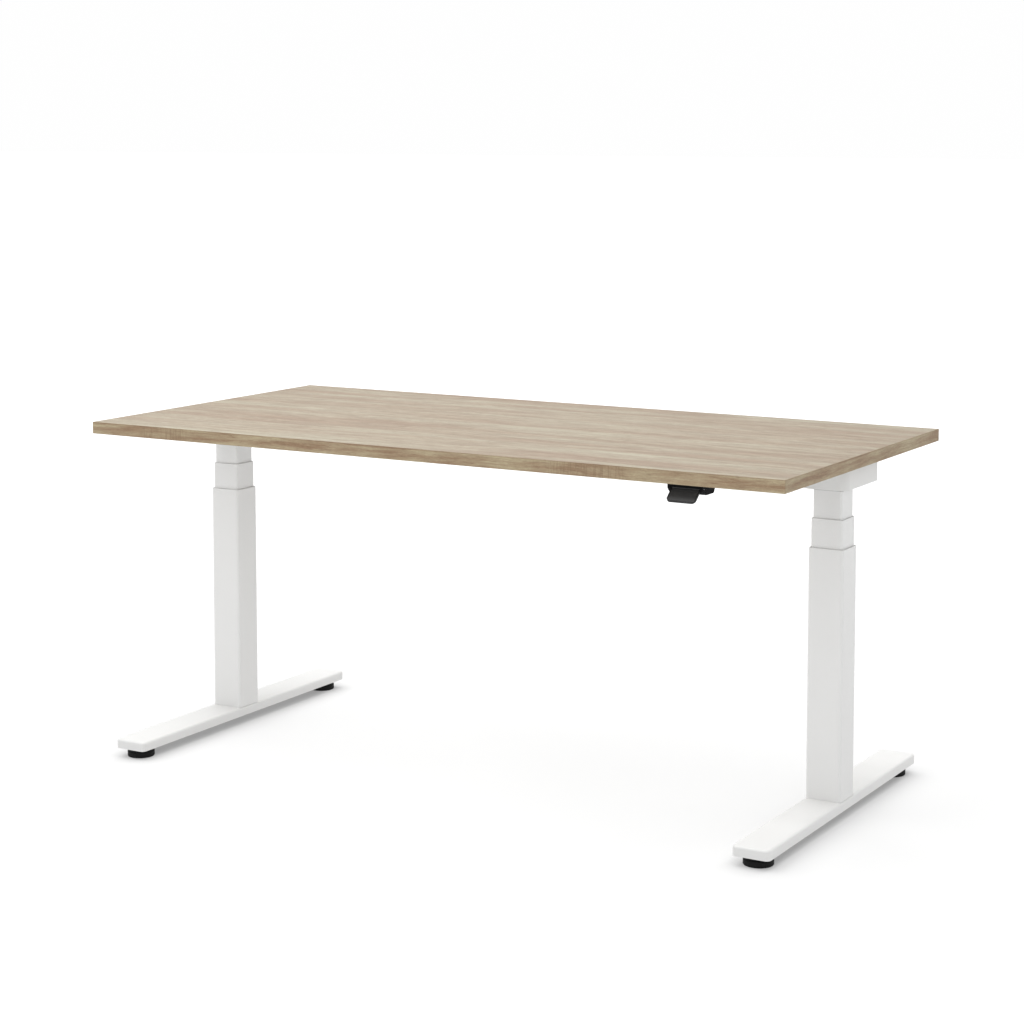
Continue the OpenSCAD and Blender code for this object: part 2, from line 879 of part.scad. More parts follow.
module handset_body() {
    inner_w = handset_w - 2 * cheek;
    slot_r = hub_r + hub_gap;
    reach = 14;
    rise = 20;                        // angle of the slot's upper wall below the horizontal
    color(BLACK)
        difference() {
            handset_extrude(-handset_w / 2, handset_w)
                translate([0, board_z])
                    polygon(HANDSET_PROFILE);
            handset_extrude(-inner_w / 2, inner_w)
                translate([hinge_y, hinge_z]) {
                    circle(slot_r);
                    polygon([
                        [0, slot_r], [-reach, slot_r - reach * tan(rise)], [-reach, -reach], [0, -reach]]);
                }
            translate([0, hinge_y, hinge_z])
                rod_x(pin_r, handset_x - handset_w / 2 - EPS, handset_x + handset_w / 2 + EPS);
            for (p = HANDSET_SCREWS)
                translate([handset_x + p[0], p[1], 0]) {
                    post(wood_r + 0.4, board_z - 30, board_z + EPS);
                    post(wood_head_r + 0.5, board_z - 30, board_z - 6);
                }
            translate([handset_x, 0, board_z + HANDSET_ROUTE[0][2]])
                rod_y(handset_lead_r + 0.3, -346, handset_back);
        }
}

// Outline of the paddle's plate, from its root at 0 to its tip, drawn smaller by inset
module paddle_outline(inset) {
    half = paddle_w / 2 - inset;
    r = paddle_corner_r - inset;
    tip = -paddle_l + inset;
    translate([-half, tip + r])
        square([2 * half, -tip - r]);
    translate([-half + r, tip])
        square([2 * (half - r), r + 1]);
    for (side = [-1, 1])
        translate([side * (half - r), tip + r])
            circle(r);
}

module paddle() {
    root = 7;
    color(BLACK)
        translate([handset_x, hinge_y, hinge_z])
            rotate([paddle_angle, 0, 0])
                difference() {
                    union() {
                        rod_x(hub_r, -paddle_w / 2, paddle_w / 2);
                        translate([0, 0, -paddle_t / 2])
                            linear_extrude(paddle_t)
                                paddle_outline(0);
                    }
                    rod_x(pin_r + fit, -paddle_w / 2 - EPS, paddle_w / 2 + EPS);
                    translate([0, 0, paddle_t / 2 - paddle_recess])
                        linear_extrude(EPS)
                            intersection() {
                                paddle_outline(paddle_rim);
                                translate([-paddle_w / 2, -paddle_l])
                                    square([paddle_w, paddle_l - root]);
                            }
                }
}

module paddle_pin() {
    color(STEEL)
        translate([0, hinge_y, hinge_z])
            rod_x(pin_r, handset_x - handset_w / 2 + 0.5, handset_x + handset_w / 2 - 0.5);
}

// ---------- leads ----------

// Plug on the end of a lead, in its socket at the right-hand end of the control box
module plug(y) {
    room = 0.5;
    translate([box_half - socket_depth + room, y - socket_w / 2 + room, socket_z - socket_h / 2 + room])
        cube([socket_depth + 5, socket_w - 2 * room, socket_h - 2 * room]);
}

module motor_leads() {
    color(BLACK)
        for (side = [-1, 1])
            on_side(side) {
                lead(MOTOR_ROUTE, motor_lead_r);
                plug(motor_socket_y);
            }
}

module handset_lead() {
    color(BLACK) {
        lead(HANDSET_ROUTE, handset_lead_r);
        plug(handset_socket_y);
    }
}

// Clips that hold the leads under the board
module cable_clips() {
    color(BLACK)
        for (c = CLIPS)
            translate([c[0][0], c[0][1], 0])
                rotate([0, 0, c[1] ? 0 : 90])
                    difference() {
                        translate([-clip_l / 2, -clip_w / 2, board_z - clip_h])
                            cube([clip_l, clip_w, clip_h]);
                        translate([0, 0, board_z + c[0][2]])
                            rod_x(clip_bore_r, -clip_l, clip_l);
                    }
}

// ---------- nodes ----------

tabletop();
edge_band();
foot(-1);  // left_foot
foot(1);  // right_foot
foot_plates();
foot_screws();
glide_inserts();
stud(-1, -1);  // left_front_stud
stud(-1, 1);  // left_rear_stud
stud(1, -1);  // right_front_stud
stud(1, 1);  // right_rear_stud
pad(-1, -1);  // left_front_pad
pad(-1, 1);  // left_rear_pad
pad(1, -1);  // right_front_pad
pad(1, 1);  // right_rear_pad
outer_tube(-1);  // left_outer_tube
outer_tube(1);  // right_outer_tube
mouth_guide(-1, outer_x, outer_y, outer_r, middle_step, outer_z + tube_l);  // left_outer_guide
mouth_guide(1, outer_x, outer_y, outer_r, middle_step, outer_z + tube_l);  // right_outer_guide
lower_screw(-1);  // left_lower_screw
lower_screw(1);  // right_lower_screw
plain_tube(-1, middle_x, middle_y, middle_r, middle_z);  // left_middle_tube
plain_tube(1, middle_x, middle_y, middle_r, middle_z);  // right_middle_tube
mouth_guide(-1, middle_x, middle_y, middle_r, inner_step, middle_z + tube_l);  // left_middle_guide
mouth_guide(1, middle_x, middle_y, middle_r, inner_step, middle_z + tube_l);  // right_middle_guide
end_shoe(-1, middle_x, middle_y, middle_r, middle_step, middle_z);  // left_middle_shoe
end_shoe(1, middle_x, middle_y, middle_r, middle_step, middle_z);  // right_middle_shoe
nut_tube(-1);  // left_nut_tube
nut_tube(1);  // right_nut_tube
upper_nut(-1);  // left_upper_nut
upper_nut(1);  // right_upper_nut
drive_tube(-1);  // left_drive_tube
drive_tube(1);  // right_drive_tube
plain_tube(-1, inner_x, inner_y, inner_r, inner_z);  // left_inner_tube
plain_tube(1, inner_x, inner_y, inner_r, inner_z);  // right_inner_tube
end_shoe(-1, inner_x, inner_y, inner_r, inner_step, inner_z);  // left_inner_shoe
end_shoe(1, inner_x, inner_y, inner_r, inner_step, inner_z);  // right_inner_shoe
upper_spindle(-1);  // left_upper_spindle
upper_spindle(1);  // right_upper_spindle
motor_housing(-1);  // left_motor_housing
motor_housing(1);  // right_motor_housing
motor(-1);  // left_motor
motor(1);  // right_motor
worm(-1);  // left_worm
worm(1);  // right_worm
bracket(-1);  // left_bracket
bracket(1);  // right_bracket
rail(FRONT_RAIL_Y);  // front_rail
rail(REAR_RAIL_Y);  // rear_rail
frame_screws();
board_screws();
control_box();
control_lid();
handset_body();
paddle();
paddle_pin();
motor_leads();
handset_lead();
cable_clips();
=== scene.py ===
import json
import math

import bmesh
import bpy
from mathutils import Matrix, Vector
from mathutils.geometry import tessellate_polygon


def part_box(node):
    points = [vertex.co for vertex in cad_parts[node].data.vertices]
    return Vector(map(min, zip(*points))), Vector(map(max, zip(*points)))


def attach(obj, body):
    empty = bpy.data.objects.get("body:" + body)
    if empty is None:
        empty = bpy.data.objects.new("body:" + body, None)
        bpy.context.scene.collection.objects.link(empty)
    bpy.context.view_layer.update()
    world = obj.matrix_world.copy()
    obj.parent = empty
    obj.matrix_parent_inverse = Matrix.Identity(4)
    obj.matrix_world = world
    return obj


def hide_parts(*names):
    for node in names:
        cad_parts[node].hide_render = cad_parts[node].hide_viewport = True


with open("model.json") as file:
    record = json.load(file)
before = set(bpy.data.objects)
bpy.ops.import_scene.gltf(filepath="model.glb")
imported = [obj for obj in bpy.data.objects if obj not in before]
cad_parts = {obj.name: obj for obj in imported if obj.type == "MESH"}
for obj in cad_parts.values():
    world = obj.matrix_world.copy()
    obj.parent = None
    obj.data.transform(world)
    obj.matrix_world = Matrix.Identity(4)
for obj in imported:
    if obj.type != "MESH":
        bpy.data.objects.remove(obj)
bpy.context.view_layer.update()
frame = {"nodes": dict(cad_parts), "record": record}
NODES = frame["nodes"]
SLOT_OF = {part["node"]: part["material_slot"] for part in frame["record"]["subparts"]}
SCENE = bpy.context.scene
# The frame is in metres: x to the right along the desk, y to its back, z up.
MM = 0.001
TAU = 2 * math.pi
SIDES = ("left", "right")
ENDS = ("front", "rear")


# ---------- camera, light and floor ----------

# The camera: place in metres, angles in degrees, lens and sensor in millimetres.
CAMERA_PLACE = (2.41472, -4.14167, 1.36416)
CAMERA_TURN = 30.214
CAMERA_DOWN = 5.095
CAMERA_LENS = 80.523
CAMERA_SENSOR = 36
CAMERA_SHIFT = -0.18
CAMERA_REACH = 400

# The lights: places and sizes in metres, powers in watts.
SURROUND_STRENGTH = 0.995
OVERHEAD_PLACE = (-0.55, -0.75, 4.2)
OVERHEAD_SIZE = 3.2
OVERHEAD_POWER = 158
TUBES_POWER = 135
FEET_LIGHT_PLACE = (-0.6, 0.15, 4.2)
FEET_LIGHT_SIZE = 2.0
FEET_LIGHT_POWER = 122
WASH_PLACE = (0, 0, 3.4)
WASH_SIZE = 12
WASH_POWER = 2090

CARD_PLACE = (3.4, 0, 1.8)
CARD_SCALE = (3.0, 7.0, 1.0)
CARD_COLOUR = (0.7, 0.7, 0.7, 1)

FLOOR_SIZE = 160
FLOOR_Z = -0.0002
FLOOR_DARK = (0.198, 0.198, 0.198)
FLOOR_LIGHT = (0.202, 0.202, 0.202)
GLOW_STARTS = 2.0
GLOW_FULL = 7.0
GLOW_NEAR = 0.25
GLOW_FAR = 0.9


def make_camera():
    """A long lens above the board's height, 30 degrees to the right of the desk's front."""
    data = bpy.data.cameras.new("camera")
    data.sensor_width = CAMERA_SENSOR
    data.lens = CAMERA_LENS
    data.shift_y = CAMERA_SHIFT
    data.clip_end = CAMERA_REACH
    camera = bpy.data.objects.new("camera", data)
    camera.location = CAMERA_PLACE
    camera.rotation_euler = (math.radians(90 - CAMERA_DOWN), 0, math.radians(CAMERA_TURN))
    SCENE.collection.objects.link(camera)
    SCENE.camera = camera


def area_light(name, place, size, power):
    """A soft square light that shines straight down."""
    data = bpy.data.lights.new(name, "AREA")
    data.shape = "SQUARE"
    data.size = size
    data.energy = power
    light = bpy.data.objects.new(name, data)
    light.location = place
    SCENE.collection.objects.link(light)
    return light


def linked(name, objects, state):
    """A light-linking collection with the same state for every object in it."""
    collection = bpy.data.collections.new(name)
    for obj in objects:
        collection.objects.link(obj)
    for entry in collection.collection_objects:
        entry.light_linking.link_state = state
    return collection


def make_studio(floor, feet):
    """An even white surround, three soft lights from above and a wide light for the floor.

    The first overhead light is for the top and what hangs under it. The tubes, the feet and the floor
    have a light each, and the board doesn't block those three, so all below it stays bright."""
    world = bpy.data.worlds.new("studio")
    world.use_nodes = True
    background = world.node_tree.nodes["Background"]
    background.inputs["Color"].default_value = (1, 1, 1, 1)
    background.inputs["Strength"].default_value = SURROUND_STRENGTH
    SCENE.world = world
    SCENE.view_settings.view_transform = "Standard"
    board = linked("board", [NODES["tabletop"], NODES["edge_band"]], "EXCLUDE")
    tubes = [NODES[f"{side}_{part}_tube"] for side in SIDES for part in ("outer", "middle", "inner")]
    for_top = area_light("overhead", OVERHEAD_PLACE, OVERHEAD_SIZE, OVERHEAD_POWER)
    for_top.light_linking.receiver_collection = linked("the_rest", [floor, *feet, *tubes], "EXCLUDE")
    for_tubes = area_light("overhead_tubes", OVERHEAD_PLACE, OVERHEAD_SIZE, TUBES_POWER)
    for_tubes.light_linking.receiver_collection = linked("only_tubes", tubes, "INCLUDE")
    for_tubes.light_linking.blocker_collection = board
    for_feet = area_light("overhead_feet", FEET_LIGHT_PLACE, FEET_LIGHT_SIZE, FEET_LIGHT_POWER)
    for_feet.light_linking.receiver_collection = linked("only_feet", feet, "INCLUDE")
    for_feet.light_linking.blocker_collection = board
    wash = area_light("floor_wash", WASH_PLACE, WASH_SIZE, WASH_POWER)
    wash.light_linking.receiver_collection = linked("only_floor", [floor], "INCLUDE")
    wash.light_linking.blocker_collection = board
    make_card()


def make_card():
    """A grey card beyond the desk's right-hand end, unseen by the camera, that shades that side a little."""
    bpy.ops.mesh.primitive_plane_add(size=1, location=CARD_PLACE, rotation=(0, math.pi / 2, 0))
    card = bpy.context.object
    card.name = "shade_card"
    card.scale = CARD_SCALE
    card.visible_camera = False
    card.visible_glossy = False
    shader = Shader("shade_card", {"Roughness": 1.0, "Specular IOR Level": 0.0})
    card.data.materials.append(shader.finish(CARD_COLOUR))


# ---------- node materials ----------

class Shader:
    """Builds one procedural material; every pattern is laid out in metres on the resting desk."""

    def __init__(self, name, constants):
        self.material = bpy.data.materials.new(name)
        self.material.use_nodes = True
        self.tree = self.material.node_tree
        self.bsdf = self.tree.nodes["Principled BSDF"]
        for socket, value in constants.items():
            self.bsdf.inputs[socket].default_value = value
        self.place = self.node("ShaderNodeTexCoord").outputs["Object"]

    def node(self, kind, inputs=None, **settings):
        """A new node with its inputs fed and its settings made."""
        made = self.tree.nodes.new(kind)
        for key, value in settings.items():
            setattr(made, key, value)
        for key, value in (inputs or {}).items():
            self.feed(value, made.inputs[key])
        return made

    def feed(self, value, socket):
        """Link another node's output to a socket, or set a constant on it."""
        if isinstance(value, bpy.types.NodeSocket):
            self.tree.links.new(value, socket)
        else:
            socket.default_value = value

    def scaled(self, scale, place=None):
        """A place, or the resting one, stretched along each axis."""
        made = self.node("ShaderNodeVectorMath", {0: place or self.place, 1: scale}, operation="MULTIPLY")
        return made.outputs[0]

    def noise(self, place, detail=2.0, roughness=0.5, distortion=0.0):
        return self.node("ShaderNodeTexNoise", {
            "Vector": place, "Scale": 1.0, "Detail": detail, "Roughness": roughness,
            "Distortion": distortion}).outputs["Fac"]

    def math(self, operation, a, b=0.5, c=0.5):
        return self.node("ShaderNodeMath", {0: a, 1: b, 2: c}, operation=operation).outputs[0]

    def remap(self, value, low, high, to_low=0.0, to_high=1.0):
        return self.node("ShaderNodeMapRange", {
            "Value": value, "From Min": low, "From Max": high, "To Min": to_low,
            "To Max": to_high}).outputs["Result"]

    def mix(self, amount, a, b, blend="MIX"):
        made = self.node("ShaderNodeMix", {0: amount, 6: a, 7: b}, data_type="RGBA", blend_type=blend)
        return made.outputs[2]

    def separate(self, vector):
        """The x, y and z outputs of a vector."""
        return self.node("ShaderNodeSeparateXYZ", {0: vector}).outputs

    def ramp(self, value, stops):
        """Colour by value, from (position, colour) stops."""
        made = self.node("ShaderNodeValToRGB", {"Fac": value})
        elements = made.color_ramp.elements
        while len(elements) < len(stops):
            elements.new(0.5)
        for element, (position, colour) in zip(elements, stops):
            element.position = position
            element.color = (*colour, 1)
        return made.outputs["Color"]

    def finish(self, colour, roughness=None, height=None, depth=0.0, strength=1.0):
        """The material, with its colour, roughness and a bump of that depth in metres."""
        self.feed(colour, self.bsdf.inputs["Base Color"])
        if roughness is not None:
            self.feed(roughness, self.bsdf.inputs["Roughness"])
        if height is not None:
            bump = self.node("ShaderNodeBump", {"Strength": strength, "Distance": depth, "Height": height})
            self.feed(bump.outputs["Normal"], self.bsdf.inputs["Normal"])
        return self.material


def shade(colour, factor):
    """A colour made darker or lighter, no channel above one, with its alpha."""
    return (*[min(1, factor * channel) for channel in colour], 1)


# How far the figure wanders across the board, the growth lines and the strengths of the dark marks.
BEND = 0.07
GROWTH_LINES = 190.0
GROWTH_LINE_STRENGTH = 0.32
FLECK_STRENGTH = 0.5
PORE_STRENGTH = 0.5
WOOD_CONSTANTS = {"Roughness": 0.6, "Specular IOR Level": 0.12}
WOOD_DEPTH = 0.06 * MM
WOOD_BUMP = 0.6


def wood_colour(shader, along, across, light, dark, deep, grain, contrast):
    """Long pale and brown streaks, growth lines, fibres, flecks and pores, along one direction.

    Light and dark are the streaks' colours and deep is the colour of lines and flecks. Grain is how much
    finer than a worktop's figure the pattern is, along and across. Gives the colour, the fibres and the
    pores."""
    def stretched(place, x, y):
        return shader.scaled((x * grain[0], y * grain[1], 1), place)

    def tinted(colour, value, low, high, floor, ceiling):
        return shader.mix(1.0, colour, shader.ramp(shader.remap(value, low, high), [
            (0.0, floor), (1.0, ceiling)]), "MULTIPLY")

    combine = shader.node("ShaderNodeCombineXYZ", {0: along, 1: across}).outputs[0]
    bend = shader.math("MULTIPLY", shader.math("SUBTRACT", shader.noise(
        stretched(combine, 1.3, 3.0), 2.0), 0.5), BEND / grain[1])
    bent = shader.math("ADD", across, bend)
    flow = shader.node("ShaderNodeCombineXYZ", {0: along, 1: bent}).outputs[0]
    broad = shader.noise(stretched(flow, 1.2, 15), 4.0, 0.6)
    between = [0.5 * d + 0.5 * c for d, c in zip(dark, light)]
    colour = shader.ramp(shader.remap(broad, 0.5 - contrast, 0.5 + contrast), [
        (0.0, dark), (0.45, between), (1.0, light)])
    level = shader.noise(stretched(flow, 0.8, 6.0), 1.0, 0.4)
    rings = shader.math("SINE", shader.math("MULTIPLY", level, GROWTH_LINES))
    zone = shader.remap(shader.noise(stretched(flow, 0.6, 3.0), 1.0), 0.45, 0.62)
    thread = shader.noise(stretched(flow, 16, 130), 5.0, 0.7)
    broken = shader.math("MULTIPLY", shader.remap(rings, 0.1, 0.9), shader.remap(thread, 0.35, 0.6))
    lines = shader.math("MULTIPLY", shader.math("MULTIPLY", broken, zone), GROWTH_LINE_STRENGTH)
    colour = shader.mix(lines, colour, (*deep, 1))
    middle = shader.noise(stretched(flow, 6, 42), 5.0, 0.66)
    colour = tinted(colour, middle, 0.38, 0.62, (0.885, 0.860, 0.845), (1.055, 1.07, 1.05))
    colour = tinted(colour, thread, 0.36, 0.64, (0.88, 0.865, 0.85), (1.075, 1.085, 1.09))
    fibre = shader.noise(stretched(flow, 40, 620), 3.0, 0.6)
    colour = tinted(colour, fibre, 0.34, 0.66, (0.90, 0.89, 0.88), (1.075, 1.075, 1.075))
    fleck = shader.remap(shader.noise(stretched(flow, 7, 70), 5.0, 0.68), 0.58, 0.64)
    colour = shader.mix(shader.math("MULTIPLY", fleck, FLECK_STRENGTH), colour, (*deep, 1))
    pores = shader.noise(stretched(flow, 55, 1300), 1.0, 0.5)
    dash = shader.remap(pores, 0.60, 0.68)
    colour = shader.mix(shader.math("MULTIPLY", dash, PORE_STRENGTH), colour, shade(deep, 0.7))
    return colour, fibre, dash


def wood_finish(shader, colour, fibre, dash, rough, smooth):
    """The wood's material, with raised fibres, sunk pores and a roughness between rough and smooth."""
    height = shader.math("SUBTRACT", shader.math("MULTIPLY", fibre, 0.4), dash)
    roughness = shader.remap(fibre, 0.3, 0.7, rough, smooth)
    return shader.finish(colour, roughness, height, WOOD_DEPTH, WOOD_BUMP)


def oak_decor():
    """Sawn oak on the board's faces, with its figure along the desk."""
    shader = Shader("oak_decor", WOOD_CONSTANTS)
    x, y, _ = shader.separate(shader.place)
    colour, fibre, dash = wood_colour(
        shader, along=x, across=y, light=(0.332, 0.302, 0.241), dark=(0.275, 0.217, 0.169),
        deep=(0.195, 0.140, 0.100), grain=(1, 1), contrast=0.13)
    return wood_finish(shader, colour, fibre, dash, 0.65, 0.55)


def oak_edge():
    """The same oak on the edge band, finer, with saw marks in places and a dark glue line at the top."""
    shader = Shader("oak_edge", WOOD_CONSTANTS)
    x, y, z = shader.separate(shader.place)
    normal = shader.separate(shader.node("ShaderNodeNewGeometry").outputs["True Normal"])
    at_end = shader.math("GREATER_THAN", shader.math("ABSOLUTE", normal[0]), 0.5)
    along = shader.node("ShaderNodeMix", {0: at_end, 2: x, 3: y}).outputs[0]
    colour, fibre, dash = wood_colour(
        shader, along=along, across=z, light=(0.400, 0.335, 0.226), dark=(0.275, 0.190, 0.123),
        deep=(0.165, 0.103, 0.062), grain=(5.5, 6), contrast=0.12)
    strip = shader.node("ShaderNodeCombineXYZ", {0: along}).outputs[0]
    zone = shader.remap(shader.noise(shader.scaled((4, 1, 1), strip), 1.0), 0.54, 0.60)
    face = shader.node("ShaderNodeCombineXYZ", {0: along, 1: z}).outputs[0]
    ticks = shader.noise(shader.scaled((330, 30, 1), face), 1.0)
    sawn = shader.math("MULTIPLY", shader.math("MULTIPLY", zone, shader.remap(ticks, 0.48, 0.62)), 0.5)
    colour = shader.mix(sawn, colour, (0.21, 0.145, 0.09, 1))
    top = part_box("edge_band")[1].z
    line = shader.math("MULTIPLY", shader.remap(z, top - 1.5 * MM, top - 0.7 * MM), 0.45)
    colour = shader.mix(line, colour, (0.15, 0.105, 0.065, 1))
    return wood_finish(shader, colour, fibre, dash, 0.55, 0.45)


def coated(name, colour, roughness, specular, grain=650, shade_line_z=None):
    """Powder coat: a fine orange peel, a barely uneven tone and, at the given height if any, a dark line of
    painted shade where a tube meets the housing above it.
    """
    shader = Shader(name, {"Roughness": roughness, "Specular IOR Level": specular})
    peel = shader.noise(shader.scaled((grain, grain, grain)), 2.0, 0.5)
    cloud = shader.noise(shader.scaled((9, 9, 5)), 3.0, 0.55)
    tone = shader.mix(cloud, shade(colour, 0.985), shade(colour, 1.012))
    # Painted shade: a dark band around the given height, where the inner tube meets the motor housing, stands
    # in for the shadow in the gap under the housing's edge.
    if shade_line_z is not None:
        height = shader.separate(shader.place)[2]
        below = shader.remap(height, shade_line_z - 1.3 * MM, shade_line_z - 1.0 * MM)
        line = shader.math("MULTIPLY", below, shader.remap(height, shade_line_z + 0.4 * MM, shade_line_z + 0.2 * MM))
        tone = shader.mix(line, tone, shade(colour, 0.5))
    rough = shader.remap(cloud, 0.3, 0.7, roughness - 0.04, roughness + 0.04)
    return shader.finish(tone, rough, peel, 0.04 * MM, 0.5)


def etched(shader, grain):
    """Height of an etched texture of fine cells, that many to the metre."""
    place = shader.scaled((grain, grain, grain))
    return shader.node("ShaderNodeTexVoronoi", {"Vector": place, "Scale": 1.0}).outputs["Distance"]


def moulded(name, colour, roughness, specular, grain=1600, depth=0.05 * MM):
    """Moulded plastic with an etched texture, a little more polished in places."""
    shader = Shader(name, {"Roughness": roughness, "Specular IOR Level": specular})
    cloud = shader.noise(shader.scaled((60, 60, 60)), 3.0, 0.6)
    tone = shader.mix(cloud, shade(colour, 0.86), shade(colour, 1.14))
    rough = shader.remap(cloud, 0.3, 0.7, roughness + 0.06, roughness - 0.06)
    return shader.finish(tone, rough, etched(shader, grain), depth, 0.5)


PADDLE_ANGLE = 40
PADDLE_T = 4 * MM
PADDLE_RIM = 2 * MM
PADDLE_HINGE = next(Vector(joint["pos_m"]) for joint in frame["record"]["behaviour"]["joints"]
                    if joint["name"] == "paddle_tilt")


def soft_touch_paddle():
    """Dark grey field on the upper face of the paddle, inside a black moulded rim."""
    shader = Shader("paddle_plastic", {"Roughness": 0.5, "Specular IOR Level": 0.3})
    lo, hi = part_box("paddle")
    slope = math.radians(PADDLE_ANGLE)
    from_hinge = shader.node(
        "ShaderNodeVectorMath", {0: shader.place, 1: tuple(PADDLE_HINGE)}, operation="SUBTRACT").outputs[0]

    def measured(direction):
        made = shader.node("ShaderNodeVectorMath", {0: from_hinge, 1: direction}, operation="DOT_PRODUCT")
        return made.outputs["Value"]

    across = shader.math("ABSOLUTE", shader.separate(from_hinge)[0])
    towards_tip = measured((0, -math.cos(slope), -math.sin(slope)))
    above = measured((0, -math.sin(slope), math.cos(slope)))
    length = (PADDLE_HINGE.y - lo.y - PADDLE_T / 2 * math.sin(slope)) / math.cos(slope)
    past = shader.math("MAXIMUM", shader.math("SUBTRACT", across, (hi.x - lo.x) / 2),
                       shader.math("SUBTRACT", towards_tip, length))
    inside = shader.remap(past, 0.2 * MM - PADDLE_RIM, -0.2 * MM - PADDLE_RIM)
    field = shader.math("MULTIPLY", inside, shader.remap(above, 0.2 * MM, 0.6 * MM))
    cloud = shader.noise(shader.scaled((60, 60, 60)), 3.0, 0.6)
    grey_field = shader.mix(cloud, (0.042, 0.042, 0.042, 1), (0.052, 0.052, 0.052, 1))
    colour = shader.mix(field, (0.010, 0.010, 0.010, 1), grey_field)
    rough = shader.remap(cloud, 0.3, 0.7, 0.56, 0.44)
    return shader.finish(colour, rough, etched(shader, 2400), 0.03 * MM, 0.5)


def steel(name, colour, roughness, direction):
    """Bare or plated steel: fine lines along the direction, or an even grain where it is zero."""
    shader = Shader(name, {"Metallic": 1.0, "Roughness": roughness})
    scale = [900 - 860 * part for part in direction]
    lines = shader.noise(shader.scaled(scale), 3.0, 0.6)
    spots = shader.noise(shader.scaled((120, 120, 120)), 4.0, 0.6)
    tone = shader.mix(spots, shade(colour, 0.86), shade(colour, 1.06))
    rough = shader.remap(lines, 0.25, 0.75, roughness - 0.08, roughness + 0.12)
    return shader.finish(tone, rough, lines, 0.02 * MM, 0.5)


def make_materials():
    """One material for each slot, by the slot's name."""
    return {
        "oak_decor": oak_decor(),
        "oak_edge": oak_edge(),
        # The white coat gets the painted shade line at the lower face of the motor housings.
        "white_coat": coated("white_coat", (0.695, 0.695, 0.688), roughness=0.40, specular=0.3,
                             shade_line_z=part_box("right_motor_housing")[0].z),
        "white_housing": coated("white_housing", (0.69, 0.69, 0.68), roughness=0.44, specular=0.3, grain=900),
        "guide_plastic": moulded("guide_plastic", (0.62, 0.62, 0.61), roughness=0.5, specular=0.4),
        "bright_steel": steel("bright_steel", (0.62, 0.62, 0.61), roughness=0.28, direction=(0, 0, 1)),
        "zinc_steel": steel("zinc_steel", (0.60, 0.62, 0.65), roughness=0.36, direction=(0, 0, 0)),
        "nut_plastic": moulded("nut_plastic", (0.74, 0.66, 0.44), roughness=0.45, specular=0.4),
        "motor_metal": coated("motor_metal", (0.05, 0.05, 0.055), roughness=0.4, specular=0.4),
        "pad_plastic": moulded("pad_plastic", (0.009, 0.009, 0.009), roughness=0.6, specular=0.12),
        "box_plastic": moulded("box_plastic", (0.012, 0.012, 0.013), roughness=0.55, specular=0.2),
        "handset_plastic": moulded("handset_plastic", (0.005, 0.005, 0.0055), roughness=0.6, specular=0.06),
        "paddle_plastic": soft_touch_paddle(),
        "lead_sheath": moulded("lead_sheath", (0.012, 0.012, 0.012), roughness=0.5, specular=0.2,
                               grain=900, depth=0.02 * MM),
        "clip_plastic": moulded("clip_plastic", (0.018, 0.018, 0.018), roughness=0.45, specular=0.25),
    }


MATERIALS = make_materials()


def make_floor():
    """A plain floor that its light and its own glow make white; the glow grows away from the desk."""
    bpy.ops.mesh.primitive_plane_add(size=FLOOR_SIZE, location=(0, 0, FLOOR_Z))
    floor = bpy.context.object
    floor.name = "floor"
    shader = Shader("floor", {"Roughness": 0.9, "Specular IOR Level": 0.0, "Emission Color": (1, 1, 1, 1)})
    tone = shader.ramp(shader.noise(shader.scaled((2, 2, 2)), 2.0), [(0.3, FLOOR_DARK), (0.7, FLOOR_LIGHT)])
    away = shader.node("ShaderNodeVectorMath", {0: shader.place}, operation="LENGTH").outputs["Value"]
    glow = shader.remap(away, GLOW_STARTS, GLOW_FULL, GLOW_NEAR, GLOW_FAR)
    shader.feed(glow, shader.bsdf.inputs["Emission Strength"])
    floor.data.materials.append(shader.finish(tone))
    return floor


# ---------- CAD nodes that stay in view ----------

# Widths of the small rounded edges; the board stays square inside its edge band.
BEVELS_MM = {
    "tabletop": 0.0, "edge_band": 0.4, "foot_plates": 0.4, "front_rail": 1.4, "rear_rail": 1.4,
    "control_box": 0.8, "control_lid": 0.6, "handset_body": 0.9, "paddle": 0.7,
    "left_bracket": 0.6, "right_bracket": 0.6, "left_motor_housing": 0.9, "right_motor_housing": 0.9,
}
OTHER_BEVEL_MM = 0.3
WELD_DISTANCE = 0.01 * MM
SHARP_ANGLE = 35


def dress_cad_nodes():
    """Give each CAD node its material and small rounded edges, without touching its mesh."""
    for name, obj in NODES.items():
        for place in obj.material_slots:
            place.material = MATERIALS[SLOT_OF[name]]
        width = BEVELS_MM.get(name, OTHER_BEVEL_MM) * MM
        weld = obj.modifiers.new("weld", "WELD")
        weld.merge_threshold = WELD_DISTANCE
        if width:
            bevel = obj.modifiers.new("edges", "BEVEL")
            bevel.width = width
            bevel.segments = 2
            bevel.limit_method = "ANGLE"
            bevel.angle_limit = math.radians(SHARP_ANGLE)
            bevel.harden_normals = True
        normals = obj.modifiers.new("normals", "WEIGHTED_NORMAL")
        normals.keep_sharp = True


# ---------- mesh building ----------

def islands(node):
    """Boxes of the separate solids of a CAD node, as (lowest, highest) corners."""
    mesh = NODES[node].data
    keys = [tuple(round(c, 5) for c in vertex.co) for vertex in mesh.vertices]
    root = {key: key for key in keys}

    def find(key):
        while root[key] != key:
            root[key] = root[root[key]]
            key = root[key]
        return key

    for face in mesh.polygons:
        first = find(keys[face.vertices[0]])
        for index in face.vertices[1:]:
            root[find(keys[index])] = first
    groups = {}
    for key in root:
        groups.setdefault(find(key), []).append(key)
    boxes = [(Vector(map(min, zip(*group))), Vector(map(max, zip(*group)))) for group in groups.values()]
    return sorted(boxes, key=lambda box: tuple(round(c, 4) for c in box[0]))


